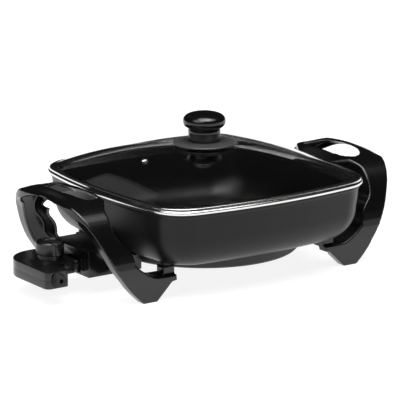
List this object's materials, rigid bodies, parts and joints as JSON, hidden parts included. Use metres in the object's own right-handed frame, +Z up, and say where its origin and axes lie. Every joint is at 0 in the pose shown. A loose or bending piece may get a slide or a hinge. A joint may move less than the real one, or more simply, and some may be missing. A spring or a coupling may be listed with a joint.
{
  "type": "electric skillet",
  "caption": "Square electric skillet: coated pan on moulded arch handles with feet, domed glass lid with a knob, and a plug-in temperature probe with a dial.",
  "frame": {"origin": "centre of the whole outline, on the table surface under the feet", "axes": "+X from the temperature probe towards the other handle, +Y across the pan, +Z up"},
  "size_m": [0.463, 0.3, 0.1807],
  "materials": {
    "pan_coating": "satin non-stick coating on cast aluminium",
    "heater_casting": "dark coated casting",
    "element_sheath": "heat-tinted sheath",
    "ceramic": "unglazed ceramic",
    "contact_metal": "nickel plated",
    "handle_plastic": "glossy moulded phenolic",
    "screw_steel": "zinc plated",
    "lid_glass": "clear tempered glass",
    "rim_steel": "polished stainless steel",
    "knob_plastic": "glossy moulded phenolic",
    "skirt_plastic": "satin moulded phenolic",
    "rubber": "silicone and cord rubber",
    "brass": "turned or stamped brass",
    "probe_plastic": "glossy moulded plastic",
    "bare_steel": "bright drawn steel"
  },
  "bodies": {
    "cooker": {"pan": "pan_coating", "heater_plate": "heater_casting", "heating_element": "element_sheath", "pin_insulators": "ceramic", "terminal_pins": "contact_metal", "left_handle": "handle_plastic", "right_handle": "handle_plastic", "handle_screws": "screw_steel", "probe_guard": "handle_plastic", "guard_screws": "screw_steel"},
    "lid": {"lid_glass": "lid_glass", "lid_rim": "rim_steel", "vent_eyelet": "rim_steel", "knob_gasket": "rubber", "knob_skirt": "skirt_plastic", "lid_knob": "knob_plastic", "knob_insert": "brass", "knob_washer": "bare_steel", "knob_screw": "screw_steel"},
    "probe": {"housing_base": "probe_plastic", "housing_top": "probe_plastic", "housing_screws": "screw_steel", "terminal_block": "probe_plastic", "contact_sleeves": "brass", "sensor_rod": "bare_steel", "switch_frame": "bare_steel", "blade_stack": "ceramic", "upper_blade": "brass", "lower_blade": "brass", "cord_gland": "rubber"},
    "dial": {"dial": "probe_plastic", "dial_shaft": "bare_steel"}
  },
  "joints": [
    {"name": "lid_lift", "type": "slide", "parent": "cooker", "child": "lid", "axis": [0, 0, 1], "range_m": [0, 0.12]},
    {"name": "probe_pull", "type": "slide", "parent": "cooker", "child": "probe", "axis": [-1, 0, 0], "range_m": [0, 0.13]},
    {"name": "dial_turn", "type": "hinge", "parent": "probe", "child": "dial", "pos_m": [-0.1952, 0, 0.05], "axis": [0, 0, 1], "range_deg": [0, 270]}
  ]
}
